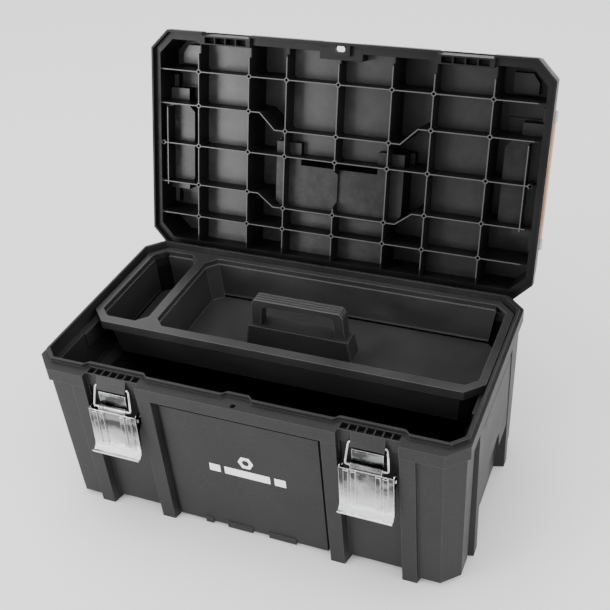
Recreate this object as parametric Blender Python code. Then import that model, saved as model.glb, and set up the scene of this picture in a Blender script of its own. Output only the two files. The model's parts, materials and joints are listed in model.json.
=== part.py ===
"""A 22 inch moulded toolbox with a lift-out tray, two draw latches and a lid with two organiser bins.

Metres, +Z up, +X to the right of the front, +Y to the back. The origin is on the floor under the
middle of the box. The lid stands open against its stops, and everything on it is modelled closed
and then turned about the hinge axis by its parent empty.
"""

import math

import bmesh
import bpy
from mathutils import Matrix, Vector

# Body
HALF_LENGTH = 0.280
HALF_WIDTH = 0.1578
FLANGE_TOP = 0.2247
FLANGE_HEIGHT = 0.018
CORNER = 0.0238
FOOT_HEIGHT = 0.007
DRAFT = 0.0042
WALL = 0.003
RIDGE_HEIGHT = 0.005
RIDGE_X = 0.2760
RIDGE_FRONT = 0.1420
RIDGE_BACK = 0.1518
RIDGE_WALL = 0.0032
CORNER_FACE = (0.2760, 0.1540)
PANEL_FACE = (0.2690, 0.1457)
RECESS_TOP = 0.198
LEDGE_TOP = 0.2078
LEDGE_X = 0.2622

# Hinge and lid
HINGE_Y = 0.1554
HINGE_Z = 0.2169
OPEN_ANGLE = math.radians(105.87)
KNUCKLE_RADIUS = 0.0042
PIN_RADIUS = 0.0016
PIN_PLAY = 0.0003
HINGE_CENTRES = {"left": -0.190, "centre": 0.0, "right": 0.190}
LID_RIM = 0.2255
LID_TOP = 0.2855
LID_HALF = (0.2824, 0.15675)
LID_TOP_HALF = (0.2770, 0.1515)
LID_CORNER = 0.0258
LID_INNER = (0.2715, 0.1437)
CHANNEL_DEPTH = 0.0065

# Lid ribs: columns across X, rows measured from the hinge side
RIB = 0.0015
BOSS_RADIUS = 0.0036
BOSS_HOLE = 0.0021
BOSS_HOLE_DEPTH = 0.012
COLUMNS = (-0.2072, -0.1300, -0.0742, 0.0, 0.0742, 0.1300, 0.2072)
ROW_OUTER = (0.0519, 0.0989, 0.1555, 0.2123, 0.2595)
ROW_CENTRE = {0.0989: 0.0818, 0.2123: 0.1903}
JOG_START = 0.1130
JOG_END = 0.0900

# Latches
LATCH_X = 0.167
LATCH_PITCH = 0.0370
LINK_AXIS = (-0.1525, 0.2115)
LEVER_AXIS = (-0.1600, 0.1835)
HOOK_AXIS = (-0.1588, 0.1715)
WIRE_RADIUS = 0.0015
SHEET = 0.0012
LATCH_PIN = 0.0013

# Tray
TRAY_X = 0.2690
TRAY_FRONT = -0.0435
TRAY_BACK = 0.1480
TRAY_TOP = 0.2207
TRAY_FLOOR = 0.1620
TRAY_CORNER = 0.022
HANDLE_Y = 0.052
HANDLE_TOP = 0.2345

# Organiser bins in the lid and the carry handle's pocket
BIN_X = (0.2265, 0.2722)
BIN_Y = (-0.0500, 0.0620)
BIN_FLOOR = 0.2485
COVER_AXIS = (0.2752, 0.2797)
COVER_BARREL = 0.0043
COVER_Y = (-0.0720, 0.0815)
COVER_ROD = 0.0012
BRACKETS = {"front": (-0.0880, -0.0732), "back": (0.0827, 0.0968)}
CLIP_BOXES = ((-0.0703, -0.0583), (0.0668, 0.0738))
POCKET_FLOOR = 0.2460
PADLOCK_RECESS = 0.0275
SIDE_ROOF = 0.2555
MIDDLE_ROOF = 0.2535
WELL_Y = 0.1385
HANDLE_PIN = 0.0020
HANDLE_AXIS = (-0.0030, 0.2760)

GAP = 0.0003


# ---------------------------------------------------------------- scene and solids


def clear_scene():
    for thing in list(bpy.data.objects):
        bpy.data.objects.remove(thing)


def make_collection(name, helper=False):
    made = bpy.data.collections.new(name)
    bpy.context.scene.collection.children.link(made)
    made.hide_render = helper
    return made


def plastic(name, colour, roughness, metallic=0.0):
    """A Principled material."""
    made = bpy.data.materials.new(name)
    made.use_nodes = True
    shader = made.node_tree.nodes["Principled BSDF"]
    shader.inputs["Base Color"].default_value = (*colour, 1.0)
    shader.inputs["Roughness"].default_value = roughness
    shader.inputs["Metallic"].default_value = metallic
    return made


def solid(builder, name="piece"):
    """An object in the workshop collection from a bmesh, with its faces turned outwards."""
    bmesh.ops.triangulate(builder, faces=builder.faces)
    bmesh.ops.recalc_face_normals(builder, faces=builder.faces)
    mesh = bpy.data.meshes.new(name)
    builder.to_mesh(mesh)
    builder.free()
    made = bpy.data.objects.new(name, mesh)
    made.display_type = "WIRE"
    WORKSHOP.objects.link(made)
    return made


def loft(rings):
    """A closed solid through rings of points that all have the same count."""
    builder = bmesh.new()
    made = [[builder.verts.new(point) for point in ring] for ring in rings]
    count = len(rings[0])
    for lower, upper in zip(made, made[1:]):
        for i in range(count):
            j = (i + 1) % count
            builder.faces.new((lower[i], lower[j], upper[j], upper[i]))
    builder.faces.new(made[0])
    builder.faces.new(made[-1])
    return solid(builder)


def box(low, high):
    builder = bmesh.new()
    bmesh.ops.create_cube(builder, size=1.0)
    size = [b - a for a, b in zip(low, high)]
    middle = [(a + b) / 2 for a, b in zip(low, high)]
    bmesh.ops.scale(builder, vec=size, verts=builder.verts)
    bmesh.ops.translate(builder, vec=middle, verts=builder.verts)
    return solid(builder)


def prism_x(outline, start, end):
    """An outline of (y, z) points drawn along X."""
    return loft([[(x, y, z) for y, z in outline] for x in (start, end)])


def prism_y(outline, start, end):
    """An outline of (x, z) points drawn along Y."""
    return loft([[(x, y, z) for x, z in outline] for y in (start, end)])


def prism_z(outline, start, end, top=None):
    """An outline of (x, y) points drawn along Z, to another outline where one is given."""
    rings = [[(x, y, start) for x, y in outline], [(x, y, end) for x, y in top or outline]]
    return loft(rings)


def rod(start, end, radius, sides=12, turn=0.5):
    """A cylinder between two points, with a flat side down."""
    start, end = Vector(start), Vector(end)
    builder = bmesh.new()
    bmesh.ops.create_cone(
        builder, cap_ends=True, segments=sides, radius1=radius, radius2=radius, depth=(end - start).length
    )
    bmesh.ops.rotate(builder, matrix=Matrix.Rotation(turn * math.tau / sides, 3, "Z"), verts=builder.verts)
    aim = (end - start).to_track_quat("Z", "Y").to_matrix()
    bmesh.ops.rotate(builder, matrix=aim, verts=builder.verts)
    bmesh.ops.translate(builder, vec=(start + end) / 2, verts=builder.verts)
    return solid(builder)


def wire(points, radius):
    """A bent wire: a curve with a round bevel, made a closed mesh."""
    curve = bpy.data.curves.new("wire", "CURVE")
    curve.dimensions = "3D"
    curve.bevel_depth = radius
    curve.bevel_resolution = 2
    curve.use_fill_caps = True
    spline = curve.splines.new("POLY")
    spline.points.add(len(points) - 1)
    for point, place in zip(spline.points, points):
        point.co = (*place, 1.0)
    drawn = bpy.data.objects.new("wire", curve)
    WORKSHOP.objects.link(drawn)
    bpy.context.view_layer.update()
    mesh = bpy.data.meshes.new_from_object(drawn.evaluated_get(bpy.context.evaluated_depsgraph_get()))
    builder = bmesh.new()
    builder.from_mesh(mesh)
    bmesh.ops.remove_doubles(builder, verts=builder.verts, dist=1e-6)
    bpy.data.objects.remove(drawn)
    return solid(builder)


def rounded_path(points, radius, steps=3):
    """The same path with each inner corner replaced by a short arc-like run."""
    made = [Vector(points[0])]
    for before, corner, after in zip(points, points[1:], points[2:]):
        before, corner, after = Vector(before), Vector(corner), Vector(after)
        start = corner + (before - corner).normalized() * radius
        end = corner + (after - corner).normalized() * radius
        for i in range(steps + 1):
            t = i / steps
            made.append(start * (1 - t) ** 2 + corner * 2 * t * (1 - t) + end * t**2)
    made.append(Vector(points[-1]))
    return made


def combine(base, pieces, operation):
    """One Boolean of the base with every piece. The pieces are used up."""
    bpy.context.view_layer.update()
    tools = bpy.data.collections.new("tools")
    for piece in pieces:
        tools.objects.link(piece)
    modifier = base.modifiers.new("combine", "BOOLEAN")
    modifier.operation = operation
    modifier.solver = "EXACT"
    modifier.operand_type = "COLLECTION"
    modifier.collection = tools
    graph = bpy.context.evaluated_depsgraph_get()
    mesh = bpy.data.meshes.new_from_object(base.evaluated_get(graph))
    base.modifiers.clear()
    base.data = mesh
    builder = bmesh.new()
    builder.from_mesh(mesh)
    bmesh.ops.triangulate(builder, faces=builder.faces)
    builder.to_mesh(mesh)
    builder.free()
    for piece in pieces:
        bpy.data.objects.remove(piece)
    bpy.data.collections.remove(tools)
    return base


def union(base, *pieces):
    return combine(base, pieces, "UNION")


def cut(base, *pieces):
    return combine(base, pieces, "DIFFERENCE")


def finish(piece, name, material, pivot=(0.0, 0.0, 0.0), parent=None, smooth=None):
    """Moves a workshop solid into the toolbox under its own name, with its origin at its pivot."""
    pivot = Vector(pivot)
    piece.name = name
    piece.data.name = name
    builder = bmesh.new()
    builder.from_mesh(piece.data)
    bmesh.ops.dissolve_limit(
        builder, angle_limit=math.radians(0.05), verts=builder.verts, edges=builder.edges
    )
    bmesh.ops.translate(builder, vec=-pivot, verts=builder.verts)
    builder.to_mesh(piece.data)
    builder.free()
    piece.data.materials.clear()
    piece.data.materials.append(material)
    piece.display_type = "TEXTURED"
    if smooth:
        piece.data.shade_smooth()
        piece.data.set_sharp_from_angle(angle=math.radians(smooth))
    WORKSHOP.objects.unlink(piece)
    TOOLBOX.objects.link(piece)
    if parent is None:
        piece.location = pivot
    else:
        piece.parent = parent
        piece.location = pivot - Vector((0.0, HINGE_Y, HINGE_Z))
    return piece


def octagon(half_x, front, back, corner):
    """A rectangle with four cut corners, anticlockwise from above."""
    return [
        (-half_x + corner, front),
        (half_x - corner, front),
        (half_x, front + corner),
        (half_x, back - corner),
        (half_x - corner, back),
        (-half_x + corner, back),
        (-half_x, back - corner),
        (-half_x, front + corner),
    ]


def eight(half, corner):
    return octagon(half[0], -half[1], half[1], corner)


# ---------------------------------------------------------------- body


def ridge_outline(inset):
    """The raised lip round the mouth, which steps inwards behind each latch and behind the padlock eye."""
    x, front, back = RIDGE_X - inset, -RIDGE_FRONT + inset, RIDGE_BACK - inset
    corner, back_corner = 0.0160, 0.0225
    dips = ((-LATCH_X, 0.0400, 0.0055), (0.0, 0.0150, 0.0055), (LATCH_X, 0.0400, 0.0055))
    outline = [(-x + corner, front)]
    for centre, half, depth in dips:
        outline.append((centre - half - depth + inset * 0.4, front))
        outline.append((centre - half + inset * 0.4, front + depth))
        outline.append((centre + half - inset * 0.4, front + depth))
        outline.append((centre + half + depth - inset * 0.4, front))
    outline += [(x - corner, front), (x, front + corner), (x, back - back_corner), (x - back_corner, back)]
    outline += [(-x + back_corner, back), (-x, back - back_corner), (-x, front + corner)]
    return outline


def panel_recess(start, end, depth_face, top):
    """A cutter that sets the front and back panels in, leaning with the draft."""
    low_face = depth_face - DRAFT
    pieces = []
    for side in (-1, 1):
        outline = [
            (side * depth_face, top if side < 0 else RECESS_TOP),
            (side * low_face, -0.01),
            (side * 0.18, -0.01),
            (side * 0.18, top if side < 0 else RECESS_TOP),
        ]
        pieces.append(prism_x(outline, start, end))
    return pieces


def vertical_rib(x_low, x_high, side, face, root):
    """A drafted rib on the front or back wall, down to its foot."""
    flank = 0.004
    rings = []
    for z, shift in ((0.0, DRAFT), (FLANGE_TOP - 0.015, 0.0003)):
        y = side * (face - shift)
        deep = side * (root - shift)
        rings.append([(x_low, y, z), (x_high, y, z), (x_high + flank, deep, z), (x_low - flank, deep, z)])
    return loft(rings)


def end_rib(y_low, y_high, side):
    """A rib on an end wall, beside the grip, down to its foot."""
    flank = 0.004
    rings = []
    for z, shift in ((0.0, 0.0020), (FLANGE_TOP - 0.015, 0.0)):
        x = side * (0.2795 - shift)
        deep = side * 0.2630
        rings.append([(x, y_low, z), (x, y_high, z), (deep, y_high + flank, z), (deep, y_low - flank, z)])
    return loft(rings)


def body_outside():
    """The outer form: cut-corner tub, set-in panels, ribs, rim flange and raised lip."""
    flange_bottom = FLANGE_TOP - FLANGE_HEIGHT
    low_face = (CORNER_FACE[0] - DRAFT, CORNER_FACE[1] - DRAFT)
    tub = prism_z(eight(low_face, 0.0205), FOOT_HEIGHT, flange_bottom + 0.004, eight(CORNER_FACE, 0.0215))
    cut(tub, *panel_recess(-0.2230, 0.2230, PANEL_FACE[1], flange_bottom))
    ends = []
    for side in (-1, 1):
        outline = [
            (side * PANEL_FACE[0], RECESS_TOP),
            (side * (PANEL_FACE[0] - DRAFT), -0.01),
            (side * 0.30, -0.01),
            (side * 0.30, RECESS_TOP),
        ]
        ends.append(prism_y(outline, -0.1000, 0.1000))
    cut(tub, *ends)
    flange = prism_z(eight((HALF_LENGTH, HALF_WIDTH), CORNER), flange_bottom, FLANGE_TOP)
    middle_foot = prism_z(eight((0.045, 0.025), 0.006), 0.0, FOOT_HEIGHT + 0.001)
    lip = prism_z(ridge_outline(0.0), FLANGE_TOP - 0.004, FLANGE_TOP + RIDGE_HEIGHT)
    pieces = [flange, lip, middle_foot]
    for low, high in ((0.1110, 0.1296), (0.2045, 0.2232)):
        for side_y in (-1, 1):
            for side_x in (-1, 1):
                x_low, x_high = sorted((side_x * low, side_x * high))
                pieces.append(vertical_rib(x_low, x_high, side_y, HALF_WIDTH, 0.1400))
    for side_y in (-1, 1):
        pieces.append(centre_panel(side_y))
    for x_low, x_high in ((-0.068, -0.057), (-0.036, 0.0), (0.023, 0.061)):
        pieces.append(box((x_low, -0.1462, 0.0020), (x_high, -0.1380, 0.0120)))
    for side_x in (-1, 1):
        pieces += [end_rib(-0.0900, -0.0750, side_x), end_rib(0.0750, 0.0900, side_x)]
        pieces.append(grip_hood(side_x))
    return union(tub, *pieces)


def centre_panel(side):
    """The slightly raised panel between the two inner ribs."""
    rings = []
    for z, shift in ((FOOT_HEIGHT - 0.002, DRAFT), (0.196, 0.0)):
        face = side * (0.1490 - shift)
        deep = side * 0.1380
        rings.append([(-0.104, face, z), (0.104, face, z), (0.107, deep, z), (-0.107, deep, z)])
    return loft(rings)


def grip_hood(side):
    """The block on each end wall that is hollowed from below into a hand grip."""
    outline = [
        (side * 0.2620, 0.078),
        (side * 0.2772, 0.078),
        (side * 0.2782, 0.192),
        (side * 0.2745, 0.2085),
        (side * 0.2620, 0.2085),
    ]
    return prism_y(outline, -0.0765, 0.0765)


def body_inside():
    """The cutters for the space inside the tub."""
    wall_top = LEDGE_TOP
    mouth = prism_z(ridge_outline(RIDGE_WALL), wall_top, FLANGE_TOP + 0.02)
    half_x, half_y = PANEL_FACE[0] - 0.0035, PANEL_FACE[1] - 0.0036
    low = (half_x - DRAFT, half_y - DRAFT)
    floor = FOOT_HEIGHT + WALL
    core = prism_z(eight(low, 0.0135), floor, wall_top + 0.002, eight((half_x, half_y), 0.0135))
    corners = []
    inner = (CORNER_FACE[0] - WALL, CORNER_FACE[1] - WALL - 0.001)
    for side_x in (-1, 1):
        for side_y in (-1, 1):
            rings = []
            for z, shift in ((floor, DRAFT), (RECESS_TOP - 0.004, 0.0)):
                x, y, c = inner[0] - shift, inner[1] - shift, 0.0195
                ring = [(0.230, 0.100), (x, 0.1065), (x, y - c), (x - c, y), (0.230, y)]
                rings.append([(side_x * a, side_y * b, z) for a, b in ring])
            corners.append(loft(rings))
    return [mouth, core] + corners


def latch_seat(centre):
    """(added, removed): the block behind each latch that holds the wire's ends, and its sockets."""
    added = [
        prism_z(
            [
                (centre - 0.0440, -0.1440),
                (centre + 0.0440, -0.1440),
                (centre + 0.0380, -0.1340),
                (centre - 0.0380, -0.1340),
            ],
            0.1990,
            0.2085,
        ),
        prism_x(
            [
                (-0.1400, 0.2045),
                (-0.1540, 0.2045),
                (-0.1568, 0.2085),
                (-0.1500, FLANGE_TOP),
                (-0.1400, FLANGE_TOP),
            ],
            centre - 0.0205,
            centre + 0.0205,
        ),
    ]
    y, z = LINK_AXIS
    removed = [
        rod((centre - 0.0260, y, z), (centre - 0.0130, y, z), WIRE_RADIUS + PIN_PLAY),
        rod((centre + 0.0130, y, z), (centre + 0.0260, y, z), WIRE_RADIUS + PIN_PLAY),
    ]
    pitch = 0.0104
    for i in range(7):
        x = centre + (i - 3) * pitch
        removed.append(
            box((x - 0.0045, -0.1484, FLANGE_TOP - 0.008), (x + 0.0045, -0.1377, FLANGE_TOP + 0.01)),
        )
    return added, removed


def hinge_seats():
    """(added, removed) for the hinge knuckles in the back flange and the stops under them."""
    added, removed = [], []
    reach = (0.0090, 0.0220)
    for centre in HINGE_CENTRES.values():
        for side in (-1, 1):
            x_low, x_high = sorted((centre + side * reach[0], centre + side * reach[1]))
            added.append(rod((x_low, HINGE_Y, HINGE_Z), (x_high, HINGE_Y, HINGE_Z), KNUCKLE_RADIUS, 16))
            stop = sorted((centre + side * 0.0270, centre + side * 0.0430))
            added.append(
                prism_x(
                    [
                        (0.1440, 0.1800),
                        (0.1660, 0.2020),
                        (0.1690, 0.2075),
                        (0.1690, 0.2112),
                        (0.1640, 0.2126),
                        (0.1500, 0.2126),
                        (0.1500, 0.2070),
                        (0.1440, 0.2000),
                    ],
                    *stop,
                )
            )
        removed.append(box((centre - 0.0104, 0.1508, 0.2100), (centre + 0.0104, 0.1700, FLANGE_TOP + 0.01)))
        removed.append(
            rod(
                (centre - 0.0230, HINGE_Y, HINGE_Z),
                (centre + 0.0230, HINGE_Y, HINGE_Z),
                PIN_RADIUS + PIN_PLAY,
                16,
            )
        )
    return added, removed


def grip_hollow(side):
    """The finger space behind each hood, the cut-out in its lip, and the wall that closes it off inside."""
    wall = prism_y(
        [
            (side * 0.2470, 0.060),
            (side * 0.2470, 0.146),
            (side * 0.2560, 0.154),
            (side * 0.2670, 0.154),
            (side * 0.2670, 0.050),
        ],
        -0.0660,
        0.0660,
    )
    hollow = prism_y(
        [
            (side * 0.2500, 0.066),
            (side * 0.2500, 0.145),
            (side * 0.2570, 0.151),
            (side * 0.2748, 0.151),
            (side * 0.2748, 0.056),
        ],
        -0.0630,
        0.0630,
    )
    notch = prism_x(
        [(-0.0360, 0.050), (-0.0280, 0.104), (0.0280, 0.104), (0.0360, 0.050)], side * 0.2700, side * 0.30,
    )
    return wall, [hollow, notch]


def make_body(material):
    shell = body_outside()
    cut(shell, *body_inside())
    notch = []
    for centre in (-LATCH_X, LATCH_X):
        notch.append(
            box((centre - LATCH_PITCH, -0.17, 0.190), (centre + LATCH_PITCH, -0.1496, FLANGE_TOP + 0.001)),
        )
    cut(shell, *notch)
    added, removed = [], []
    for centre in (-LATCH_X, LATCH_X):
        more, less = latch_seat(centre)
        added += more
        removed += less
    more, less = hinge_seats()
    added += more
    removed += less
    for side in (-1, 1):
        more, less = grip_hollow(side)
        added.append(more)
        removed += less
        ledge = [
            (side * LEDGE_X, LEDGE_TOP),
            (side * 0.2670, LEDGE_TOP),
            (side * 0.2670, 0.176),
            (side * LEDGE_X, 0.186),
        ]
        added.append(prism_y(ledge, -0.0620, 0.1180))
    union(shell, *added)
    removed.append(rod((0.0, -0.1512, 0.2000), (0.0, -0.1512, 0.2400), 0.0038, 16))
    cut(shell, *removed)
    return finish(shell, "body_shell", material)


def make_hinge_pins(material):
    for name, centre in HINGE_CENTRES.items():
        pin = rod((centre - 0.0228, HINGE_Y, HINGE_Z), (centre + 0.0228, HINGE_Y, HINGE_Z), PIN_RADIUS, 12)
        finish(pin, f"hinge_pin_{name}", material, (centre, HINGE_Y, HINGE_Z), smooth=40)


# ---------------------------------------------------------------- lid


def from_hinge_edge(distance):
    """Y of a place in the closed lid, measured in from its hinge-side rim."""
    return LID_HALF[1] - distance


def rib_between(start, end, low, high):
    """A thin wall along a line in plan."""
    start, end = Vector(start), Vector(end)
    along = (end - start).normalized()
    side = Vector((-along.y, along.x)) * RIB / 2
    start, end = start - along * RIB / 2, end + along * RIB / 2
    plan = [start - side, end - side, end + side, start + side]
    return prism_z([tuple(point) for point in plan], low, high)


def rib_row(distance):
    """One row of rib, straight or stepped towards the middle, as a list of plan points."""
    y = from_hinge_edge(distance)
    if distance not in ROW_CENTRE:
        return [(-LID_INNER[0], y), (LID_INNER[0], y)]
    inner = from_hinge_edge(ROW_CENTRE[distance])
    half = [(LID_INNER[0], y), (JOG_START, y), (JOG_END, inner)]
    return half + [(-x, at) for x, at in reversed(half)]


def crossing(column, distance):
    """Where a column meets a row."""
    inside = abs(column) < JOG_END
    if distance in ROW_CENTRE and inside:
        distance = ROW_CENTRE[distance]
    return column, from_hinge_edge(distance)


def lid_ribs():
    """The egg-crate of ribs and hollow bosses under the lid's roof."""
    roof = LID_TOP - 0.0025
    y_wall = LID_INNER[1] + 0.001
    pieces = []
    for column in COLUMNS:
        pieces.append(rib_between((column, -y_wall), (column, y_wall), LID_RIM, roof))
    for distance in ROW_OUTER:
        row = rib_row(distance)
        for start, end in zip(row, row[1:]):
            pieces.append(rib_between(start, end, LID_RIM, roof - 0.0002))
    places = [crossing(column, distance) for column in COLUMNS for distance in ROW_OUTER]
    places += [(side * 0.2641, from_hinge_edge(0.1555)) for side in (-1, 1)]
    for x, y in places:
        pieces.append(rod((x, y, LID_RIM + 0.0001), (x, y, roof - 0.0004), BOSS_RADIUS, 8))
    ribs = union(pieces[0], *pieces[1:])
    relief = LID_RIM + 0.0070
    low = LID_RIM - 0.001
    cutters = [
        box((-0.29, -0.16, low), (0.29, -0.1355, relief)),
        box((-0.29, 0.1425, low), (0.29, 0.16, relief)),
        box((0.2690, -0.158, low + 0.0001), (0.29, 0.158, relief)),
        box((-0.29, -0.158, low + 0.0001), (-0.2690, 0.158, relief)),
        box((-0.026, -0.158, low + 0.0002), (0.026, -0.1295, relief)),
        prism_x(
            [(0.0660, low), (0.0600, 0.2395), (0.0200, 0.2395), (0.0120, low)],
            -0.0715,
            0.0715,
        ),
    ]
    for centre in (-LATCH_X, LATCH_X):
        cutters.append(box((centre - 0.0500, -0.158, low + 0.0003), (centre + 0.0500, -0.1275, relief)))
    cut(ribs, *cutters)
    holes = []
    for x, y in places:
        holes.append(rod((x, y, LID_RIM - 0.01), (x, y, LID_RIM + BOSS_HOLE_DEPTH), BOSS_HOLE, 6))
    cut(ribs, *holes)
    return ribs


def lid_shell_form():
    """The outer skin of the lid with its rim channel."""
    outer = loft(
        [
            [(x, y, z) for x, y in eight(half, corner)]
            for half, corner, z in (
                (LID_HALF, LID_CORNER, LID_RIM),
                (LID_HALF, LID_CORNER, LID_RIM + 0.012),
                ((LID_HALF[0] - 0.0018, LID_HALF[1] - 0.0018), LID_CORNER - 0.0008, LID_RIM + 0.0135),
                (LID_TOP_HALF, LID_CORNER - 0.002, LID_TOP - 0.004),
                ((LID_TOP_HALF[0] - 0.004, LID_TOP_HALF[1] - 0.004), LID_CORNER - 0.004, LID_TOP),
            )
        ]
    )
    channel = prism_z(
        eight(
            (LID_HALF[0] - WALL, LID_HALF[1] - WALL), LID_CORNER - 0.0015,
        ), LID_RIM - 0.01, LID_RIM + CHANNEL_DEPTH
    )
    top_inner = (LID_INNER[0] - 0.0015, LID_INNER[1] - 0.0015)
    space = prism_z(eight(LID_INNER, 0.020), LID_RIM, LID_TOP - WALL, eight(top_inner, 0.019))
    return cut(outer, channel, space)


def bin_block(side, x_out, grow, low, high):
    """An organiser bin with two cut corners on its inner side, as a solid."""
    x_in = BIN_X[0] - grow
    y_low, y_high = BIN_Y[0] - grow, BIN_Y[1] + grow
    c = 0.010
    plan = [
        (x_out, y_low),
        (x_out, y_high),
        (x_in + c, y_high),
        (x_in, y_high - c),
        (x_in, y_low + c),
        (x_in + c, y_low),
    ]
    return prism_z([(side * x, y) for x, y in plan], low, high)


def organiser_seat(side):
    """(added, removed) for one bin: its walls, the bed of its cover, and the clip boxes beside it."""
    roof = LID_TOP - 0.0015
    added = [bin_block(side, BIN_X[1], 0.0025, BIN_FLOOR - 0.0025, roof)]
    added.append(box(*sorted_low(side * 0.2636, side * 0.2722, -0.0905, 0.0992, 0.2712, roof)))
    bed_y = (COVER_Y[0] - 0.0030, COVER_Y[1] + 0.0030)
    added.append(box(*sorted_low(side * (BIN_X[0] - 0.0070), side * 0.2650, *bed_y, 0.2792, roof - 0.0003)))
    added.append(
        rib_between(
            (side * 0.2570, BIN_Y[0] + 0.001),
            (side * 0.2570, BIN_Y[1] - 0.001),
            LID_RIM,
            BIN_FLOOR - 0.001,
        ),
    )
    removed = [
        bin_block(side, 0.2700, 0.0, BIN_FLOOR, 0.2692),
        bin_block(side, 0.2618, 0.0001, 0.2690, LID_TOP + 0.01),
        box(
            *sorted_low(
                side * (BIN_X[0] - 0.0045),
                side * 0.2752,
                COVER_Y[0] - 0.0005,
                COVER_Y[1] + 0.0005,
                0.2815,
                0.30,
            ),
        ),
    ]
    x, z = COVER_AXIS
    ends = (COVER_Y[0] - 0.0005, COVER_Y[1] + 0.0005)
    removed.append(rod((side * x, ends[0], z), (side * x, ends[1], z), COVER_BARREL + 0.0005, 16))
    removed.append(
        rod(
            (side * x, BRACKETS["front"][0] + 0.002, z),
            (side * x, BRACKETS["back"][1] - 0.002, z),
            0.0015,
            10,
        ),
    )
    for y_low, y_high in BRACKETS.values():
        removed.append(box(*sorted_low(side * 0.2660, side * 0.30, y_low, y_high, 0.2742, 0.30)))
    for y_low, y_high in CLIP_BOXES:
        added.append(
            box(*sorted_low(side * 0.2410, side * 0.2722, y_low - 0.002, y_high + 0.002, 0.2615, roof)),
        )
        removed.append(
            box(*sorted_low(side * 0.2430, side * 0.2600, y_low, y_high, 0.2635, LID_TOP + 0.01)),
        )
    return added, removed


def low_roofs():
    """(added, removed): the parts of the roof that lie low, and the wells above them in the lid's top."""
    roof = LID_TOP - 0.0020
    y_wall = LID_INNER[1] + 0.0005
    added, removed = [], []
    inner, outer = COLUMNS[5], COLUMNS[6]
    for side in (-1, 1):
        added.append(box(*sorted_low(side * inner, side * outer, -y_wall, y_wall, SIDE_ROOF, roof)))
        well = (side * (inner + 0.0040), side * (outer - 0.0040), -WELL_Y, WELL_Y)
        removed.append(box(*sorted_low(*well, SIDE_ROOF + WALL, LID_TOP + 0.01)))
    middle = COLUMNS[4]
    added.append(box((-middle, -y_wall + 0.0002, MIDDLE_ROOF), (middle, 0.0013, roof - 0.0002)))
    added.append(box((-middle, 0.0815, MIDDLE_ROOF), (middle, y_wall - 0.0002, roof - 0.0002)))
    front_well = [(0.0535, -0.0040), (0.0535, -0.0195), (0.0705, -0.0195), (0.0705, -0.1300)]
    front_well += [(-x, y) for x, y in reversed(front_well)]
    removed.append(prism_z(front_well, MIDDLE_ROOF + WALL, LID_TOP + 0.011))
    removed.append(box((-0.0705, 0.0860, MIDDLE_ROOF + WALL), (0.0705, WELL_Y, LID_TOP + 0.011)))
    return added, removed


def corner_pads(side):
    """The raised pads on the roof beside the front corners."""
    pad = [(0.2220, -0.1330), (0.2220, -0.1072), (0.2550, -0.1072), (0.2550, -0.1210), (0.2460, -0.1330)]
    return prism_z([(side * x, y) for x, y in pad], 0.2700, LID_TOP - 0.0018)


def pocket_block(grow, low, high):
    """The carry handle's pocket: a bar space behind and two arm spaces that run forward."""
    outer, back, front, inner = 0.0905 + grow, 0.0800 + grow, -0.0135 - grow, 0.0585 - grow
    step = 0.0170 - grow
    c = 0.014
    plan = [
        (outer - c, back),
        (-outer + c, back),
        (-outer, back - c),
        (-outer, front),
        (-inner, front),
        (-inner, step),
        (inner, step),
        (inner, front),
        (outer, front),
        (outer, back - c),
    ]
    return prism_z(plan, low, high)


def sorted_low(x0, x1, y0, y1, z0, z1):
    return (min(x0, x1), min(y0, y1), min(z0, z1)), (max(x0, x1), max(y0, y1), max(z0, z1))


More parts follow.
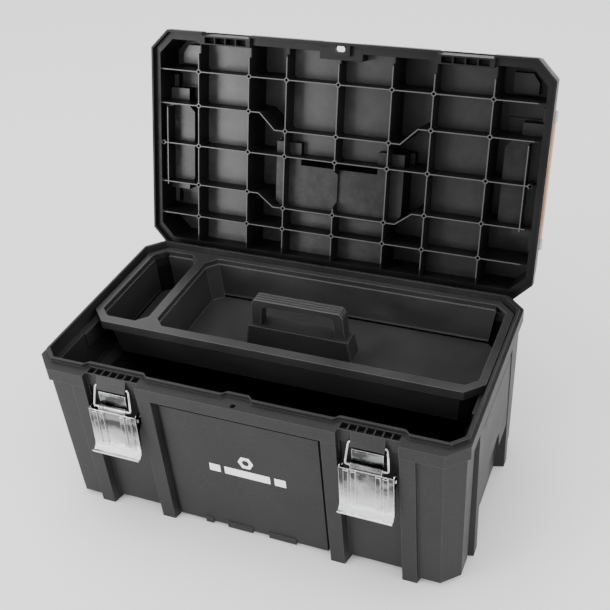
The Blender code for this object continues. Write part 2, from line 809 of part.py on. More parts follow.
def make_lid(material, hinge):
    shell = lid_shell_form()
    added, removed = [lid_ribs()], []
    roof = LID_TOP - 0.0015
    for side in (-1, 1):
        more, less = organiser_seat(side)
        added += more
        added.append(corner_pads(side))
        removed += less
    more, less = low_roofs()
    added += more
    removed += less
    added.append(pocket_block(0.0025, POCKET_FLOOR - 0.0025, roof))
    removed.append(pocket_block(0.0, POCKET_FLOOR, LID_TOP + 0.01))
    for side in (-1, 1):
        x_low, x_high = sorted((side * 0.0585, side * 0.0985))
        y, z = HANDLE_AXIS
        added.append(
            box((x_low - 0.0015, -0.0135 - 0.001, z - 0.006), (x_high + 0.0015, 0.010, roof - 0.0002)),
        )
        removed.append(rod((side * 0.0545, y, z), (side * 0.0965, y, z), HANDLE_PIN + PIN_PLAY, 12))
    for centre in (-LATCH_X, LATCH_X):
        more, less = keeper(centre)
        added += more
        removed += less
    for centre in HINGE_CENTRES.values():
        added.append(
            rod(
                (centre - 0.0100, HINGE_Y, HINGE_Z),
                (centre + 0.0100, HINGE_Y, HINGE_Z),
                KNUCKLE_RADIUS,
                16,
            ),
        )
        added.append(
            box(
                (centre - 0.0100, HINGE_Y - KNUCKLE_RADIUS, HINGE_Z),
                (centre + 0.0100, LID_HALF[1] - 0.0002, LID_RIM + 0.007),
            )
        )
        removed.append(
            rod(
                (centre - 0.012, HINGE_Y, HINGE_Z),
                (centre + 0.012, HINGE_Y, HINGE_Z),
                PIN_RADIUS + PIN_PLAY,
                16,
            )
        )
    added.append(box((-0.0140, -0.1562, LID_RIM + 0.0003), (0.0140, -0.1400, LID_RIM + 0.0062)))
    recess = PADLOCK_RECESS
    added.append(
        box((-recess - 0.0025, -0.1500, LID_RIM + 0.0062), (recess + 0.0025, -0.1340, LID_TOP - 0.002)),
    )
    removed.append(box((-recess, -0.17, LID_RIM + 0.0092), (recess, -0.1368, LID_TOP + 0.01)))
    eye = [(-0.0072, -0.1500), (-0.0052, -0.1525), (0.0052, -0.1525), (0.0072, -0.1500)]
    eye += [(0.0072, -0.1472), (0.0052, -0.1447), (-0.0052, -0.1447), (-0.0072, -0.1472)]
    removed.append(prism_z(eye, LID_RIM - 0.001, LID_RIM + 0.0110))
    union(shell, *added)
    cut(shell, *removed)
    return finish(shell, "lid_shell", material, (0.0, HINGE_Y, HINGE_Z), hinge)


def keeper(centre):
    """(added, removed): the notch in the lid's front edge, its box, and the ledge for the hook."""
    half = 0.0355
    front, back = -0.1522, -0.1405
    added = [
        box(
            (centre - half - 0.002, -0.1562, LID_RIM + 0.0004),
            (centre + half + 0.002, back, LID_RIM + 0.0072),
        ),
        box(
            (centre - half - 0.002, -0.1500, LID_RIM + 0.0060),
            (centre + half + 0.002, back - 0.0010, LID_TOP - 0.002),
        ),
    ]
    removed = [box((centre - half, -0.17, LID_RIM - 0.001), (centre + half, front, LID_RIM + 0.0280))]
    removed.append(
        box((centre - half, -0.17, LID_RIM + 0.0278), (centre + half, front + 0.0030, LID_RIM + 0.0450)),
    )
    cell = (2 * 0.0310 - 3 * 0.0016) / 4
    for i in range(4):
        x = centre - 0.0310 + i * (cell + 0.0016)
        removed.append(box((x, -0.1502, LID_RIM - 0.001), (x + cell, -0.1422, LID_RIM + 0.0150)))
    return added, removed


# ---------------------------------------------------------------- lid fittings


def make_carry_handle(material, pin_material, hinge):
    y, z = HANDLE_AXIS
    arm_in, arm_out = 0.0605, 0.0885
    bar = prism_x(
        [
            (0.0560, 0.2660),
            (0.0740, 0.2660),
            (0.0770, 0.2700),
            (0.0770, 0.2790),
            (0.0730, 0.2835),
            (0.0590, 0.2835),
            (0.0540, 0.2790),
            (0.0540, 0.2690),
        ],
        -arm_out,
        arm_out,
    )
    pieces = []
    for side in (-1, 1):
        x_low, x_high = sorted((side * arm_in, side * arm_out))
        pieces.append(
            prism_x(
                [
                    (y - 0.006, z - 0.004),
                    (y - 0.006, z + 0.0065),
                    (0.0600, 0.2833),
                    (0.0600, 0.2665),
                    (y + 0.004, z - 0.0065),
                    (y - 0.003, z - 0.0065),
                ],
                x_low,
                x_high,
            )
        )
    union(bar, *pieces)
    removed = []
    for side in (-1, 1):
        removed.append(rod((side * 0.06, y, z), (side * 0.09, y, z), HANDLE_PIN + PIN_PLAY, 12))
        corner = [(0.0730, 0.0800), (0.0950, 0.0580), (0.0950, 0.0800)]
        removed.append(prism_z([(side * a, b) for a, b in corner], 0.25, 0.30))
    cut(bar, *removed)
    finish(bar, "carry_handle", material, (0.0, y, z), hinge)
    for side, name in ((-1, "left"), (1, "right")):
        pin = rod((side * 0.0560, y, z), (side * 0.0950, y, z), HANDLE_PIN, 12)
        finish(pin, f"handle_pin_{name}", pin_material, (side * 0.0755, y, z), hinge, 40)


def make_cover(side, name, material, hinge):
    """An orange bin cover: a thin plate with a thumb tab, and a thick barrel along the lid's end."""
    x, z = COVER_AXIS
    plate = box(*sorted_low(side * (BIN_X[0] - 0.0035), side * x, *COVER_Y, 0.2820, 0.2846))
    tab = box(
        *sorted_low(side * (BIN_X[0] - 0.0040), side * (BIN_X[0] - 0.0015), -0.010, 0.022, 0.2822, 0.2855),
    )
    barrel = rod((side * x, COVER_Y[0] - 0.0001, z), (side * x, COVER_Y[1] + 0.0001, z), COVER_BARREL, 16)
    union(plate, tab, barrel)
    cut(plate, rod((side * x, -0.09, z), (side * x, 0.10, z), COVER_ROD + PIN_PLAY, 10))
    finish(plate, f"organiser_cover_{name}", material, (side * x, 0.006, z), hinge)


def make_brackets(side, name, material, rod_material, hinge):
    """The grey snap-in brackets at each end of a cover, and the rod through both."""
    x, z = COVER_AXIS
    outline = [
        (0.2664, 0.2746),
        (0.2664, 0.2852),
        (0.2770, 0.2852),
        (0.2806, 0.2822),
        (0.2806, 0.2762),
        (0.2790, 0.2746),
    ]
    for place, (y_low, y_high) in BRACKETS.items():
        bracket = prism_y([(side * a, b) for a, b in outline], y_low + GAP, y_high - GAP)
        reach = (y_low - 0.01, y_high - 0.003) if place == "back" else (y_low + 0.003, y_high + 0.01)
        bore = rod((side * x, reach[0], z), (side * x, reach[1], z), COVER_ROD + PIN_PLAY, 10)
        finish(cut(bracket, bore), f"cover_bracket_{name}_{place}", material, (side * x, y_low, z), hinge)
    ends = (BRACKETS["front"][0] + 0.0034, BRACKETS["back"][1] - 0.0034)
    long_rod = rod((side * x, ends[0], z), (side * x, ends[1], z), COVER_ROD, 10)
    finish(long_rod, f"cover_rod_{name}", rod_material, (side * x, 0.0, z), hinge, 40)


# ---------------------------------------------------------------- tray


def tray_outline(inset, corner):
    return octagon(TRAY_X - inset, TRAY_FRONT + inset, TRAY_BACK - inset, corner)


def make_tray(material):
    """The lift-out tray: wide flat rim, skirt, two compartments and the plinth under the handle."""
    rim = prism_z(tray_outline(0.0, TRAY_CORNER), TRAY_TOP - 0.0120, TRAY_TOP)
    deep = TRAY_FLOOR - 0.0025
    basin = prism_z(tray_outline(0.0175, 0.016), deep, TRAY_TOP - 0.001, tray_outline(0.0075, 0.019))
    skirt_space = prism_z(tray_outline(0.0025, TRAY_CORNER - 0.001), TRAY_TOP - 0.02, TRAY_TOP - 0.0030)
    cut(rim, skirt_space)
    union(rim, basin)
    pieces = []
    for x_low, x_high, slope in ((-0.2600, -0.1895, 0.0080), (-0.1765, 0.2590, 0.0080)):
        rings = []
        for z, inset in (
            (TRAY_FLOOR, slope),
            (TRAY_TOP - 0.008, 0.0015),
            (TRAY_TOP - 0.0078, 0.0),
            (TRAY_TOP + 0.01, 0.0),
        ):
            low, high = x_low + inset, x_high - inset
            front, back, c = -0.0300 + inset, 0.1390 - inset, 0.0140
            ring = [
                (low + c, front),
                (high - c, front),
                (high, front + c),
                (high, back - c),
                (high - c, back),
                (low + c, back),
                (low, back - c),
                (low, front + c),
            ]
            rings.append([(x, y, z) for x, y in ring])
        pieces.append(loft(rings))
    cut(rim, *pieces)
    plinth = prism_z(
        octagon(0.0770, HANDLE_Y - 0.0160, HANDLE_Y + 0.0160, 0.002),
        TRAY_FLOOR - 0.001,
        0.1930,
        octagon(0.0720, HANDLE_Y - 0.0135, HANDLE_Y + 0.0135, 0.002),
    )
    union(rim, plinth)
    sockets = []
    for side in (-1, 1):
        low, high = sorted_low(
            side * 0.0535, side * 0.0645, HANDLE_Y - 0.0065, HANDLE_Y + 0.0065, 0.1830, 0.20,
        )
        sockets.append(box(low, high))
    cut(rim, *sockets)
    return finish(rim, "tray", material)


def make_tray_handle(material):
    """The ribbed bow handle, with two feet that snap into the plinth."""
    low, high = 0.1933, HANDLE_TOP - 0.0010
    outer = [
        (-0.0665, low),
        (-0.0650, 0.2270),
        (-0.0600, high),
        (0.0600, high),
        (0.0650, 0.2270),
        (0.0665, low),
        (0.0540, low),
        (0.0510, 0.2200),
        (0.0480, 0.2240),
        (-0.0480, 0.2240),
        (-0.0510, 0.2200),
        (-0.0540, low),
    ]
    bow = prism_y(outer, HANDLE_Y - 0.0090, HANDLE_Y + 0.0090)
    feet = []
    for side in (-1, 1):
        near, far = sorted_low(
            side * 0.0540, side * 0.0640, HANDLE_Y - 0.0060, HANDLE_Y + 0.0060, 0.1835, 0.1950,
        )
        feet.append(box(near, far))
    for i in range(4):
        y = HANDLE_Y + (i - 1.5) * 0.0050
        feet.append(
            prism_y(
                [
                    (-0.0640, 0.2290),
                    (-0.0600, HANDLE_TOP),
                    (0.0600, HANDLE_TOP),
                    (0.0640, 0.2290),
                    (0.0590, 0.2290),
                    (-0.0590, 0.2290),
                ],
                y - 0.0010,
                y + 0.0010,
            )
        )
    union(bow, *feet)
    return finish(bow, "tray_handle", material)


# ---------------------------------------------------------------- latches


def make_latch(centre, name, materials):
    """One draw latch hanging open: bent wire, pressed lever, hook plate and headed pin."""
    steel, wire_steel = materials
    make_link(centre, name, wire_steel)
    make_lever(centre, name, steel)
    make_hook(centre, name, steel)
    y, z = HOOK_AXIS
    pin = rod((centre - 0.0338, y, z), (centre + 0.0338, y, z), LATCH_PIN, 12)
    head = rod((centre + 0.0337, y, z), (centre + 0.0352, y, z), 0.0024, 12)
    finish(union(pin, head), f"latch_pin_{name}", wire_steel, (centre, y, z), smooth=40)


def make_link(centre, name, material):
    """The wire: its top ends turn into the body, and its bottom bar runs through the lever's roll."""
    top, low = LINK_AXIS, LEVER_AXIS
    half_top, half_low = 0.0235, 0.0262
    points = [
        (centre - 0.0150, *top),
        (centre - half_top, *top),
        (centre - half_low, *low),
        (centre + half_low, *low),
        (centre + half_top, *top),
        (centre + 0.0150, *top),
    ]
    bent = wire(rounded_path(points, 0.0030), WIRE_RADIUS)
    finish(bent, f"latch_link_{name}", material, (centre, *top), smooth=40)


def lever_profile():
    """The lever's face from its top edge to its curled lip, as (y, z) points of the outer side."""
    return [
        (-0.1637, 0.1790),
        (-0.1655, 0.1280),
        (-0.1668, 0.1215),
        (-0.1712, 0.1172),
        (-0.1746, 0.1165),
        (-0.1752, 0.1188),
    ]


def thick_strip(points, thickness):
    """A closed outline: the points, and back along them one sheet's thickness away."""
    back = []
    for i, point in enumerate(points):
        before = Vector(points[max(i - 1, 0)])
        after = Vector(points[min(i + 1, len(points) - 1)])
        along = (after - before).normalized()
        back.append((point[0] - along.y * thickness, point[1] + along.x * thickness))
    return points + back[::-1]


def make_lever(centre, name, material):
    """The lever: ribbed face with a curled lip, a roll round the wire's bar, and two cheeks for the pin."""
    half, roll_half = 0.0335, 0.0195
    face = prism_x(thick_strip(lever_profile(), SHEET), centre - half, centre + half)
    web = [(-0.1638, 0.1775), (-0.1626, 0.1775), (-0.1600, 0.1812), (-0.1622, 0.1835)]
    pieces = [
        rod((centre - roll_half, *LEVER_AXIS), (centre + roll_half, *LEVER_AXIS), 0.0029, 12),
        prism_x(web, centre - roll_half + 0.0004, centre + roll_half - 0.0004),
    ]
    cheek = [
        (-0.1632, 0.1786),
        (-0.1600, 0.1800),
        (-0.1530, 0.1800),
        (-0.1503, 0.1765),
        (-0.1503, 0.1700),
        (-0.1530, 0.1610),
        (-0.1592, 0.1560),
        (-0.1612, 0.1300),
        (-0.1660, 0.1292),
    ]
    for side in (-1, 1):
        x_low, x_high = sorted((centre + side * (half - SHEET), centre + side * (half - 0.0001)))
        pieces.append(prism_x(cheek, x_low, x_high))
    for offset in (-0.0270, -0.0180, 0.0120, 0.0210):
        low, high = centre + offset, centre + offset + 0.0060
        crown = [(-0.1632, 0.1782), (-0.1658, 0.1776), (-0.1679, 0.1276), (-0.1652, 0.1240)]
        pieces.append(prism_x(crown, low, high))
    union(face, *pieces)
    bores = [
        rod((centre - 0.03, *LEVER_AXIS), (centre + 0.03, *LEVER_AXIS), WIRE_RADIUS + PIN_PLAY, 12),
        rod((centre - 0.04, *HOOK_AXIS), (centre + 0.04, *HOOK_AXIS), LATCH_PIN + PIN_PLAY, 12),
        rod((centre - 0.04, -0.1532, 0.1745), (centre + 0.04, -0.1532, 0.1745), 0.0014, 10),
    ]
    cut(face, *bores)
    finish(face, f"latch_lever_{name}", material, (centre, *LEVER_AXIS))


def make_hook(centre, name, material):
    """The hook plate behind the wire's bar: knuckle on the pin, flat blade, and a tip curled to the lid."""
    y, z = HOOK_AXIS
    half = 0.0190
    path = [
        (y - 0.0006, z + 0.0012),
        (-0.1552, 0.1790),
        (-0.1548, 0.1815),
        (-0.1548, 0.1998),
        (-0.1540, 0.2020),
        (-0.1522, 0.2028),
        (-0.1510, 0.2014),
    ]
    blade = prism_x(thick_strip(path, SHEET), centre - half, centre + half)
    union(blade, rod((centre - half - 0.0005, y, z), (centre + half + 0.0005, y, z), 0.0024, 12))
    cut(blade, rod((centre - 0.04, y, z), (centre + 0.04, y, z), LATCH_PIN + PIN_PLAY, 12))
    finish(blade, f"latch_hook_{name}", material, (centre, y, z))


# ---------------------------------------------------------------- assembly


def main():
    charcoal = plastic("charcoal_plastic", (0.045, 0.045, 0.047), 0.55)
    black = plastic("black_plastic", (0.018, 0.018, 0.020), 0.42)
    tray_black = plastic("tray_plastic", (0.022, 0.022, 0.024), 0.48)
    orange = plastic("orange_plastic", (0.72, 0.26, 0.10), 0.40)
    grey = plastic("grey_plastic", (0.42, 0.43, 0.44), 0.50)
    zinc = plastic("zinc_plate", (0.72, 0.73, 0.74), 0.28, 1.0)
    steel = plastic("steel_wire", (0.62, 0.63, 0.65), 0.22, 1.0)
    make_body(charcoal)
    make_hinge_pins(steel)
    hinge = bpy.data.objects.new("lid_hinge_axis", None)
    TOOLBOX.objects.link(hinge)
    hinge.location = (0.0, HINGE_Y, HINGE_Z)
    hinge.rotation_euler = (-OPEN_ANGLE, 0.0, 0.0)
    make_lid(black, hinge)
    make_carry_handle(black, steel, hinge)
    for side, name in ((-1, "left"), (1, "right")):
        make_cover(side, name, orange, hinge)
        make_brackets(side, name, grey, steel, hinge)
    make_tray(tray_black)
    make_tray_handle(tray_black)
    for centre, name in ((-LATCH_X, "left"), (LATCH_X, "right")):
        make_latch(centre, name, (zinc, steel))


clear_scene()
WORKSHOP = make_collection("workshop", helper=True)
TOOLBOX = make_collection("toolbox")
main()
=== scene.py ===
"""The toolbox's looks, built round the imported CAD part."""

import json
import math

import bpy
from mathutils import Matrix, Vector


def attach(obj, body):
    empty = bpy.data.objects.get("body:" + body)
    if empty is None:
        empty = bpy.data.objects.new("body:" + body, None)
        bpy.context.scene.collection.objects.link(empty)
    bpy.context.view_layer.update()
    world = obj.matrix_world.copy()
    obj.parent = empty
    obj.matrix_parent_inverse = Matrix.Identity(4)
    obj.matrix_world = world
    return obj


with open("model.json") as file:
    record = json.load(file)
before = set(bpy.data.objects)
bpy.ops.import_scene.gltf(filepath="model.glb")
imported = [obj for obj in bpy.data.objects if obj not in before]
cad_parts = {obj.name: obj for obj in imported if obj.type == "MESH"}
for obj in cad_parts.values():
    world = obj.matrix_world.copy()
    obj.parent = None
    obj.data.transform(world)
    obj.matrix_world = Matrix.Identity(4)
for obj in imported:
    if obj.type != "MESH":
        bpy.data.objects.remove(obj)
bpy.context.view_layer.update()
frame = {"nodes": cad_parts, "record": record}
NODES = frame["nodes"]

# The lid's hinge axis and how far it stands open
HINGE_Y = 0.1554
HINGE_Z = 0.2169
OPEN_ANGLE = math.radians(105.87)

# Heights in the closed lid, each a (from, to) over which one surface gives way to the next
RIB_LEVEL = (0.2262, 0.2275)
POCKET_LEVEL = (0.2330, 0.2400)
ROOF_LEVEL = (0.2480, 0.2520)

# Heights between which a lever's face brightens, a painted reflection: dark at the top, bright lower
# down
LEVER_SHADE = (0.1790, 0.1220)

# The front panel's face at the print's height, and how it leans with the mould's draft
PRINT_PLACE = (0.004, -0.1473, 0.112)
PRINT_LEAN = math.atan2(0.0042, 0.191)

# ---------------------------------------------------------------- node material helpers


class Shader:
    """A material's node tree, with short calls for the nodes used here."""

    def __init__(self, name):
        self.material = bpy.data.materials.new(name)
        self.material.use_nodes = True
        self.tree = self.material.node_tree
        self.surface = self.tree.nodes["Principled BSDF"]
        self.place = self.node("ShaderNodeTexCoord").outputs["Object"]

    def node(self, kind, **settings):
        made = self.tree.nodes.new(kind)
        for name, value in settings.items():
            setattr(made, name, value)
        return made

    def join(self, source, target):
        self.tree.links.new(source, target)

    def stretched(self, scale):
        """The object's own coordinates, scaled by axis."""
        made = self.node("ShaderNodeMapping")
        made.inputs["Scale"].default_value = scale
        self.join(self.place, made.inputs["Vector"])
        return made.outputs["Vector"]

    def noise(self, scale, detail=3.0, rough=0.5, vector=None):
        made = self.node("ShaderNodeTexNoise")
        made.inputs["Scale"].default_value = scale
        made.inputs["Detail"].default_value = detail
        made.inputs["Roughness"].default_value = rough
        self.join(vector or self.place, made.inputs["Vector"])
        return made.outputs["Fac"]

    def spread(self, value, low, high, to_low=0.0, to_high=1.0):
        """Maps a value's range to another range, and holds it there."""
        made = self.node("ShaderNodeMapRange")
        self.join(value, made.inputs["Value"])
        made.inputs["From Min"].default_value = low
        made.inputs["From Max"].default_value = high
        made.inputs["To Min"].default_value = to_low
        made.inputs["To Max"].default_value = to_high
        return made.outputs["Result"]

    def maths(self, operation, a, b):
        made = self.node("ShaderNodeMath", operation=operation)
        for value, socket in zip((a, b), made.inputs):
            if isinstance(value, (int, float)):
                socket.default_value = value
            else:
                self.join(value, socket)
        return made.outputs["Value"]

    def plus(self, a, b):
        return self.maths("ADD", a, b)

    def times(self, a, b):
        return self.maths("MULTIPLY", a, b)

    def mixed(self, factor, low, high):
        """Two colours mixed by a factor."""
        made = self.node("ShaderNodeMix", data_type="RGBA")
        self.join(factor, made.inputs["Factor"])
        for value, socket in zip((low, high), (made.inputs[6], made.inputs[7])):
            if isinstance(value, tuple):
                socket.default_value = (*value, 1.0)
            else:
                self.join(value, socket)
        return made.outputs[2]

    def axis(self, name):
        """One of the object's own coordinates."""
        made = self.node("ShaderNodeSeparateXYZ")
        self.join(self.place, made.inputs["Vector"])
        return made.outputs[name]

    def facing(self, name):
        """One part of the surface normal in the object's own axes."""
        geometry = self.node("ShaderNodeTexCoord")
        made = self.node("ShaderNodeSeparateXYZ")
        self.join(geometry.outputs["Normal"], made.inputs["Vector"])
        return made.outputs[name]

    def edges(self, radius, sharpest=0.86):
        """1 on and beside the sharp edges, 0 on flat faces."""
        rounded = self.node("ShaderNodeBevel", samples=4)
        rounded.inputs["Radius"].default_value = radius
        flat = self.node("ShaderNodeNewGeometry")
        both = self.node("ShaderNodeVectorMath", operation="DOT_PRODUCT")
        self.join(rounded.outputs["Normal"], both.inputs[0])
        self.join(flat.outputs["Normal"], both.inputs[1])
        return self.spread(both.outputs["Value"], sharpest, 0.995, 1.0, 0.0)

    def bump(self, heights, edge=0.0006):
        """Bumps on top of slightly rounded edges. Each height is (value, strength, distance)."""
        rounded = self.node("ShaderNodeBevel", samples=4)
        rounded.inputs["Radius"].default_value = edge
        normal = rounded.outputs["Normal"]
        for value, strength, distance in heights:
            made = self.node("ShaderNodeBump")
            made.inputs["Strength"].default_value = strength
            made.inputs["Distance"].default_value = distance
            self.join(value, made.inputs["Height"])
            self.join(normal, made.inputs["Normal"])
            normal = made.outputs["Normal"]
        self.join(normal, self.surface.inputs["Normal"])

    def set(self, **values):
        names = {
            "colour": "Base Color",
            "rough": "Roughness",
            "metal": "Metallic",
            "specular": "Specular IOR Level",
        }
        for key, value in values.items():
            socket = self.surface.inputs[names[key]]
            if isinstance(value, tuple):
                socket.default_value = (*value, 1.0)
            elif isinstance(value, (int, float)):
                socket.default_value = value
            else:
                self.join(value, socket)


def grained_plastic(name, dark, light, rough, grain=900.0, depth=0.00018, shine=0.5):
    """Moulded plastic with a spark-eroded grain: colour, gloss and height all vary a little, and the
    sharp edges carry a painted highlight.
    """
    s = Shader(name)
    fine = s.noise(grain, 2.0, 0.6)
    broad = s.noise(16.0, 4.0, 0.55)
    speckle = s.spread(s.noise(grain * 0.55, 1.0), 0.58, 0.72)
    colour = s.mixed(s.spread(broad, 0.35, 0.68), dark, light)
    lighter = tuple(min(1.0, c * 1.9) for c in light)
    colour = s.mixed(s.times(speckle, 0.5), colour, lighter)
    # Painted highlight: the sharp edges are lightened towards a pale tone, standing in for light
    # catching them.
    painted_edge_highlight = tuple(min(1.0, c * 4.0 + 0.03) for c in light)
    colour = s.mixed(s.times(s.edges(0.0011), 0.55), colour, painted_edge_highlight)
    gloss = s.spread(fine, 0.35, 0.7, rough - 0.05, rough + 0.08)
    gloss = s.plus(gloss, s.spread(broad, 0.3, 0.7, -0.04, 0.05))
    s.bump([(broad, 0.25, 0.0012), (fine, 0.55, depth)])
    s.set(colour=colour, rough=gloss, specular=shine)
    return s


def smooth_plastic(name, dark, light, rough):
    """Polished moulding: faint flow marks, dust that dulls it in patches, and a painted highlight on
    the sharp edges.
    """
    s = Shader(name)
    flow = s.noise(9.0, 5.0, 0.6, s.stretched((1.0, 0.5, 2.2)))
    dust = s.noise(420.0, 3.0, 0.7)
    patch = s.noise(28.0, 3.0, 0.5)
    colour = s.mixed(s.spread(flow, 0.35, 0.7), dark, light)
    lit = tuple(min(1.0, c * 2.2) for c in light)
    colour = s.mixed(s.times(s.spread(dust, 0.60, 0.76), 0.35), colour, lit)
    # Painted highlight: the sharp edges are lightened, standing in for light catching them.
    painted_edge_highlight = tuple(min(1.0, c * 5.0 + 0.04) for c in light)
    colour = s.mixed(s.times(s.edges(0.0010), 0.6), colour, painted_edge_highlight)
    gloss = s.spread(flow, 0.3, 0.7, rough - 0.06, rough + 0.07)
    gloss = s.plus(gloss, s.spread(patch, 0.35, 0.7, -0.03, 0.05))
    s.bump([(patch, 0.18, 0.0008), (dust, 0.20, 0.0001)])
    s.set(colour=colour, rough=gloss, specular=0.5)
    return s


def plated_steel(name, colour, rough, along=(1.0, 1.0, 14.0), edge=0.0004, dark=0.10, shade=None):
    """Zinc-plated sheet: rolled streaks, spangle and smears, and a painted highlight along the sharp
    edges.

    A shade is (height where it is darkest, height where it is brightest): a painted reflection that
    brightens the face between these heights, over the random bands.
    """
    s = Shader(name)
    streak = s.noise(130.0, 3.0, 0.6, s.stretched(along))
    spangle = s.noise(240.0, 2.0, 0.5)
    smear = s.noise(52.0, 4.0, 0.62)
    bands = s.noise(26.0, 2.0, 0.5, s.stretched((1.0, 1.0, 2.4)))
    banded_and_shaded_dark = tuple(c * dark for c in colour)
    amount = s.spread(bands, 0.40, 0.60)
    # Painted reflection: with a shade given, the colour runs from the dark tone at the first height to
    # the full colour at the second, standing in for the metal's varying reflection.
    if shade:
        painted_reflection_rise = s.maths("POWER", s.spread(s.axis("Z"), shade[0], shade[1]), 2.6)
        amount = s.plus(s.times(amount, 0.22), s.times(painted_reflection_rise, 0.90))
        amount = s.spread(amount, 0.04, 1.0)
    tone = s.mixed(amount, banded_and_shaded_dark, colour)
    tone = s.mixed(s.times(s.spread(smear, 0.54, 0.68), 0.22), tone, colour)
    # Painted highlight: the sharp edges are mixed towards near-white.
    tone = s.mixed(s.edges(0.0012), tone, (0.97, 0.97, 0.97))
    gloss = s.spread(streak, 0.3, 0.7, rough - 0.06, rough + 0.10)
    gloss = s.plus(gloss, s.spread(spangle, 0.3, 0.7, -0.03, 0.06))
    s.bump([(smear, 0.35, 0.0014), (streak, 0.15, 0.0001), (spangle, 0.12, 0.0001)], edge)
    s.set(colour=tone, rough=gloss, metal=1.0)
    return s


def closed_frame(s):
    """A lid point's height and its distance from the middle line, as if the lid were closed."""
    cosine, sine = math.cos(OPEN_ANGLE), math.sin(OPEN_ANGLE)
    turned_z = s.plus(s.times(s.axis("Z"), cosine), s.times(s.axis("Y"), sine))
    height = s.plus(turned_z, HINGE_Z - HINGE_Y * sine - HINGE_Z * cosine)
    turned_y = s.maths("SUBTRACT", s.times(s.axis("Y"), cosine), s.times(s.axis("Z"), sine))
    across = s.plus(turned_y, HINGE_Y - HINGE_Y * cosine + HINGE_Z * sine)
    return height, s.maths("ABSOLUTE", across, 0.0)


def lid_material():
    """Black moulding. The roof's inner faces are matt and mottled, and painted light brightens them and
    the pocket floors towards the left; the ribs' top faces carry a painted highlight; rib sides, rim
    and walls stay dark.
    """
    s = Shader("lid_black")
    height, across = closed_frame(s)
    inward = s.times(s.facing("Y"), -math.sin(OPEN_ANGLE))
    inward = s.plus(inward, s.times(s.facing("Z"), -math.cos(OPEN_ANGLE)))
    level = s.spread(inward, 0.90, 0.97)
    roof = s.times(level, s.spread(height, *ROOF_LEVEL))
    floor = s.times(level, s.spread(height, *POCKET_LEVEL))
    flow = s.noise(7.0, 5.0, 0.62, s.stretched((1.0, 0.6, 1.6)))
    cloud = s.noise(38.0, 6.0, 0.70)
    speck = s.noise(520.0, 3.0, 0.7)
    scuff = s.noise(60.0, 4.0, 0.65, s.stretched((1.0, 1.0, 5.0)))
    # Painted light: the roof's inner faces and the pocket floors, and the mottle on them, are lightened
    # towards the left, standing in for the lamp's light falling there.
    painted_light_from_left = s.spread(s.axis("X"), -0.18, 0.10, 1.0, 0.0)
    mottle_and_painted_light = s.times(s.spread(cloud, 0.42, 0.66), s.plus(s.times(painted_light_from_left, 0.50), 0.10))
    plain = s.mixed(s.spread(flow, 0.35, 0.7), (0.010, 0.010, 0.010), (0.016, 0.016, 0.016))
    plain = s.mixed(roof, plain, s.mixed(painted_light_from_left, (0.012, 0.012, 0.012), (0.034, 0.034, 0.0335)))
    dusty_and_lit = s.mixed(mottle_and_painted_light, plain, (0.085, 0.085, 0.083))
    dusty_and_lit = s.mixed(s.times(s.spread(speck, 0.60, 0.74), 0.25), dusty_and_lit, (0.065, 0.065, 0.065))
    dusty_and_lit = s.mixed(s.times(s.spread(scuff, 0.60, 0.72), 0.22), dusty_and_lit, (0.060, 0.060, 0.060))
    dark = s.mixed(s.spread(flow, 0.35, 0.7), (0.006, 0.006, 0.006), (0.011, 0.011, 0.011))
    colour = s.mixed(floor, dark, dusty_and_lit)
    inside = s.spread(across, 0.132, 0.134, 1.0, 0.0)
    inside = s.times(inside, s.spread(s.maths("ABSOLUTE", s.axis("X"), 0.0), 0.262, 0.264, 1.0, 0.0))
    # Painted highlight: the ribs' top faces inside the rim are lightened to grey, standing in for light
    # catching them.
    rib_top_highlight = s.times(s.times(level, s.spread(height, *RIB_LEVEL, 1.0, 0.0)), inside)
    colour = s.mixed(rib_top_highlight, colour, (0.048, 0.048, 0.0475))
    gloss = s.spread(flow, 0.3, 0.7, 0.30, 0.42)
    gloss = s.plus(gloss, s.spread(cloud, 0.35, 0.7, -0.03, 0.08))
    shine = s.plus(s.times(roof, 0.10), 0.13)
    shine = s.plus(shine, s.times(s.times(floor, painted_light_from_left), 0.15))
    shine = s.plus(shine, s.times(rib_top_highlight, 0.30))
    s.bump([(cloud, 0.25, 0.0008), (speck, 0.25, 0.0001)], 0.0005)
    s.set(colour=colour, rough=gloss, specular=shine)
    return s


BODY_TONES = ((0.009, 0.009, 0.0095), (0.015, 0.015, 0.0155))
TRAY_TONES = ((0.019, 0.019, 0.019), (0.029, 0.029, 0.029))
ORANGE_TONES = ((0.62, 0.19, 0.06), (0.72, 0.25, 0.09))
GREY_TONES = ((0.34, 0.35, 0.36), (0.42, 0.43, 0.44))
MATERIALS = {
    "body_plastic": grained_plastic("charcoal_grained", *BODY_TONES, 0.50, 850.0, 0.00022, 0.30),
    "lid_plastic": lid_material(),
    "tray_plastic": smooth_plastic("tray_black", *TRAY_TONES, 0.36),
    "cover_plastic": grained_plastic("cover_orange", *ORANGE_TONES, 0.40, 700.0, 0.0001),
    "bracket_plastic": grained_plastic("bracket_grey", *GREY_TONES, 0.45, 700.0, 0.0001),
    "latch_steel": plated_steel("latch_zinc", (0.90, 0.91, 0.91), 0.18, dark=0.06, shade=LEVER_SHADE),
    "wire_steel": plated_steel("wire_zinc", (0.62, 0.63, 0.64), 0.14, (14.0, 1.0, 1.0), 0.0003, 0.35),
    "pin_steel": plated_steel("pin_bright", (0.70, 0.71, 0.73), 0.25, (14.0, 1.0, 1.0), 0.0003, 0.5),
}

for entry in frame["record"]["subparts"]:
    shown = NODES[entry["node"]]
    shown.data.materials.clear()
    shown.data.materials.append(MATERIALS[entry["material_slot"]].material)

# ---------------------------------------------------------------- printed mark


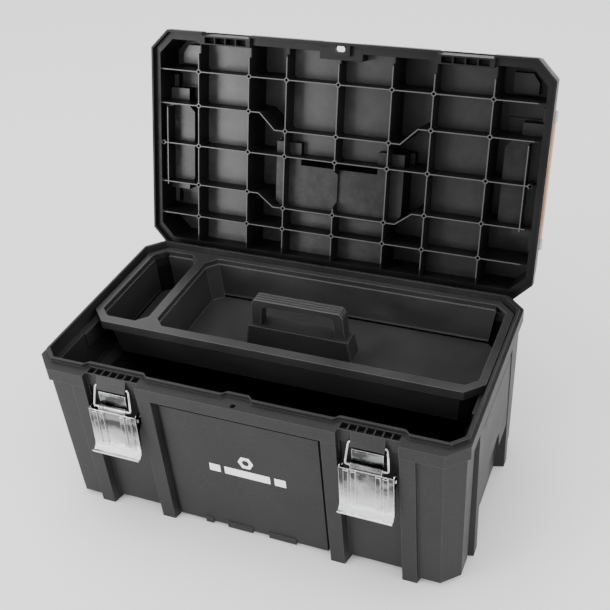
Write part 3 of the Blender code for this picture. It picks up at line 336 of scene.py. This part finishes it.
def printed_mark():
    """A plain white print on the front panel: a bar between two blocks, under a hexagon nut."""
    paint = Shader("print_white")
    wear = paint.noise(700.0, 3.0, 0.6)
    colour = paint.mixed(paint.spread(wear, 0.62, 0.74), (0.86, 0.86, 0.86), (0.55, 0.55, 0.55))
    paint.bump([(wear, 0.2, 0.0001)])
    paint.set(colour=colour, rough=0.45, specular=0.4)
    shapes = []
    for low, high in ((-0.052, -0.037), (-0.031, 0.031), (0.037, 0.052)):
        shapes.append([(low, -0.0085), (high, -0.0085), (high, 0.0035), (low, 0.0035)])
    points, faces = [], []
    for shape in shapes:
        faces.append([len(points) + i for i in range(len(shape))])
        points += shape
    for i in range(6):
        start, end = math.radians(60 * i), math.radians(60 * (i + 1))
        first = len(points)
        for angle, radius in ((start, 0.0050), (start, 0.0105), (end, 0.0105), (end, 0.0050)):
            points.append((radius * math.cos(angle), 0.0180 + radius * math.sin(angle)))
        faces.append([first, first + 1, first + 2, first + 3])
    mesh = bpy.data.meshes.new("printed_mark")
    turned = [(x, -z * math.sin(PRINT_LEAN), z * math.cos(PRINT_LEAN)) for x, z in points]
    mesh.from_pydata(turned, [], faces)
    mesh.materials.append(paint.material)
    mark = bpy.data.objects.new("printed_mark", mesh)
    mark.location = PRINT_PLACE
    bpy.context.scene.collection.objects.link(mark)
    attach(mark, "body")


printed_mark()

# ---------------------------------------------------------------- studio


def make_camera():
    turn, tilt, roll = math.radians(24.87), math.radians(35.01), math.radians(-4.84)
    ahead = Vector((-math.sin(turn) * math.cos(tilt), math.cos(turn) * math.cos(tilt), -math.sin(tilt)))
    right = Vector((math.cos(turn), math.sin(turn), 0.0))
    up = right.cross(ahead)
    side = right * math.cos(roll) + up * math.sin(roll)
    over = up * math.cos(roll) - right * math.sin(roll)
    data = bpy.data.cameras.new("camera")
    data.lens = 58.8
    data.sensor_width = 36.0
    data.clip_start = 0.05
    data.clip_end = 30.0
    camera = bpy.data.objects.new("camera", data)
    bpy.context.scene.collection.objects.link(camera)
    turned = Matrix((side, over, -ahead)).transposed().to_4x4()
    camera.matrix_world = Matrix.Translation((0.4596, -0.9187, 0.9826)) @ turned
    bpy.context.scene.camera = camera


def softbox(name, place, target, size, power, colour=(1.0, 1.0, 1.0)):
    data = bpy.data.lights.new(name, "AREA")
    data.shape = "RECTANGLE"
    data.size, data.size_y = size
    data.energy = power
    data.color = colour
    lamp = bpy.data.objects.new(name, data)
    lamp.location = place
    lamp.rotation_euler = (Vector(target) - Vector(place)).to_track_quat("-Z", "Y").to_euler()
    bpy.context.scene.collection.objects.link(lamp)


def make_studio():
    floor_material = Shader("studio_floor")
    floor_material.set(colour=(0.95, 0.95, 0.95), rough=0.8)
    mesh = bpy.data.meshes.new("studio_floor")
    mesh.from_pydata([(-12, -12, 0), (12, -12, 0), (12, 12, 0), (-12, 12, 0)], [], [(0, 1, 2, 3)])
    mesh.materials.append(floor_material.material)
    floor = bpy.data.objects.new("studio_floor", mesh)
    floor.location.z = -0.0005
    bpy.context.scene.collection.objects.link(floor)
    world = bpy.data.worlds.new("studio_air")
    world.use_nodes = True
    world.node_tree.nodes["Background"].inputs["Color"].default_value = (1.0, 1.0, 1.0, 1.0)
    world.node_tree.nodes["Background"].inputs["Strength"].default_value = 1.6
    bpy.context.scene.world = world
    softbox("key_left", (-1.75, -1.95, 0.75), (-0.20, 0.22, 0.42), (1.3, 1.0), 55.0)
    softbox("side_right", (2.3, -0.2, 0.9), (0.2, 0.0, 0.12), (1.0, 1.2), 12.0)
    softbox("top", (-0.4, 0.2, 2.6), (0.0, 0.0, 0.2), (1.6, 1.2), 20.0)


make_camera()
make_studio()
